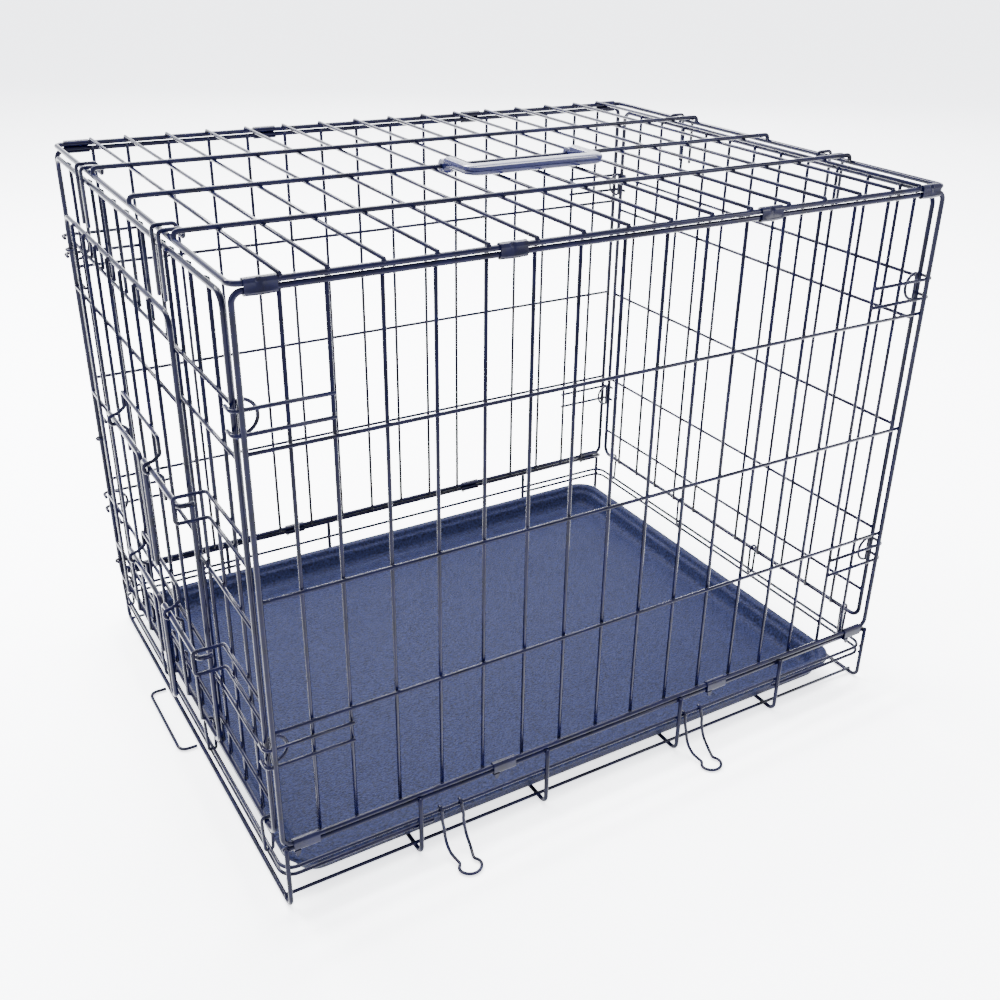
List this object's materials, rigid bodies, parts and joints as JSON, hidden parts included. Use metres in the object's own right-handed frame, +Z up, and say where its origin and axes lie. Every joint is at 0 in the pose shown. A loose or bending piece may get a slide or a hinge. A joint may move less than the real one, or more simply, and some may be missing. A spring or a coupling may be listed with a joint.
{
  "type": "wire dog crate",
  "caption": "Folding welded-wire dog crate with a hinged end door, slide bolts, hinged end panels, carrying handle and slide-out plastic tray.",
  "frame": {"origin": "centre of the crate's bounding box, on the floor that it stands on", "axes": "+X along the length from the door end to the rear end, +Y across from the front side to the back side, +Z up"},
  "size_m": [0.6504, 0.521, 0.5147],
  "materials": {
    "black_wire": "gloss black electrocoat over welded steel wire",
    "fitting_wire": "gloss black coated bent wire",
    "clip_sheet": "black coated folded sheet steel",
    "tray_plastic": "dark slate moulded plastic with a fine pebbled texture",
    "grip_plastic": "satin black moulded plastic"
  },
  "bodies": {
    "crate_body": {"base_frame": "black_wire", "front_side_panel": "black_wire", "back_side_panel": "black_wire", "top_panel": "black_wire", "top_front_clip_1": "clip_sheet", "top_front_clip_2": "clip_sheet", "top_front_clip_3": "clip_sheet", "top_front_clip_4": "clip_sheet", "top_back_clip_1": "clip_sheet", "top_back_clip_2": "clip_sheet", "top_back_clip_3": "clip_sheet", "top_back_clip_4": "clip_sheet", "bottom_front_clip_1": "clip_sheet", "bottom_front_clip_2": "clip_sheet", "bottom_front_clip_3": "clip_sheet", "bottom_front_clip_4": "clip_sheet", "bottom_back_clip_1": "clip_sheet", "bottom_back_clip_2": "clip_sheet", "bottom_back_clip_3": "clip_sheet", "bottom_back_clip_4": "clip_sheet", "door_end_ring_1": "fitting_wire", "door_end_ring_2": "fitting_wire", "door_end_ring_3": "fitting_wire", "door_end_ring_4": "fitting_wire", "rear_end_ring_1": "fitting_wire", "rear_end_ring_2": "fitting_wire", "rear_end_ring_3": "fitting_wire", "rear_end_ring_4": "fitting_wire", "door_end_hook_front": "fitting_wire", "door_end_hook_back": "fitting_wire", "rear_end_hook_front": "fitting_wire", "rear_end_hook_back": "fitting_wire"},
    "tray": {"tray": "tray_plastic"},
    "tray_stop": {"tray_stop": "fitting_wire"},
    "door_end_panel": {"door_end_panel": "black_wire", "door_end_d_ring_front_upper": "fitting_wire", "door_end_d_ring_front_lower": "fitting_wire", "door_end_d_ring_back_upper": "fitting_wire", "door_end_d_ring_back_lower": "fitting_wire", "door_hinge_eye_top": "fitting_wire", "door_hinge_eye_middle": "fitting_wire", "door_hinge_eye_bottom": "fitting_wire"},
    "rear_end_panel": {"rear_end_panel": "black_wire", "rear_end_d_ring_front_upper": "fitting_wire", "rear_end_d_ring_front_lower": "fitting_wire", "rear_end_d_ring_back_upper": "fitting_wire", "rear_end_d_ring_back_lower": "fitting_wire"},
    "door": {"door": "black_wire"},
    "upper_bolt": {"upper_bolt": "fitting_wire"},
    "lower_bolt": {"lower_bolt": "fitting_wire"},
    "carry_handle": {"handle_bail": "grip_plastic"},
    "fold_clip_1": {"fold_clip_1": "fitting_wire"},
    "fold_clip_2": {"fold_clip_2": "fitting_wire"}
  },
  "joints": [
    {"name": "door_end_fold", "type": "hinge", "parent": "crate_body", "child": "door_end_panel", "pos_m": [-0.29966, 0.02023, 0.06523], "axis": [0, 1, 0], "range_deg": [0, 88]},
    {"name": "rear_end_fold", "type": "hinge", "parent": "crate_body", "child": "rear_end_panel", "pos_m": [0.31934, 0.02023, 0.06523], "axis": [0, 1, 0], "range_deg": [-88, 0]},
    {"name": "door_swing", "type": "hinge", "parent": "door_end_panel", "child": "door", "pos_m": [-0.30436, 0.22023, 0.26223], "axis": [0, 0, 1], "range_deg": [-120, 0]},
    {"name": "upper_bolt_slide", "type": "slide", "parent": "door", "child": "upper_bolt", "axis": [0, -1, 0], "range_m": [0, 0.014]},
    {"name": "lower_bolt_slide", "type": "slide", "parent": "door", "child": "lower_bolt", "axis": [0, -1, 0], "range_m": [0, 0.014]},
    {"name": "tray_slide", "type": "slide", "parent": "crate_body", "child": "tray", "axis": [1, 0, 0], "range_m": [-0.3, 0]},
    {"name": "tray_stop_turn", "type": "hinge", "parent": "crate_body", "child": "tray_stop", "pos_m": [-0.29666, 0.05823, 0.00163], "axis": [0, 1, 0], "range_deg": [0, 90]},
    {"name": "handle_turn", "type": "hinge", "parent": "crate_body", "child": "carry_handle", "pos_m": [0.02484, 0.00523, 0.50643], "axis": [-1, 0, 0], "range_deg": [0, 140]},
    {"name": "fold_clip_1_turn", "type": "hinge", "parent": "crate_body", "child": "fold_clip_1", "pos_m": [-0.15516, -0.21527, 0.03793], "axis": [-1, 0, 0], "range_deg": [0, 100]},
    {"name": "fold_clip_2_turn", "type": "hinge", "parent": "crate_body", "child": "fold_clip_2", "pos_m": [0.09784, -0.21527, 0.03793], "axis": [-1, 0, 0], "range_deg": [0, 100]}
  ]
}
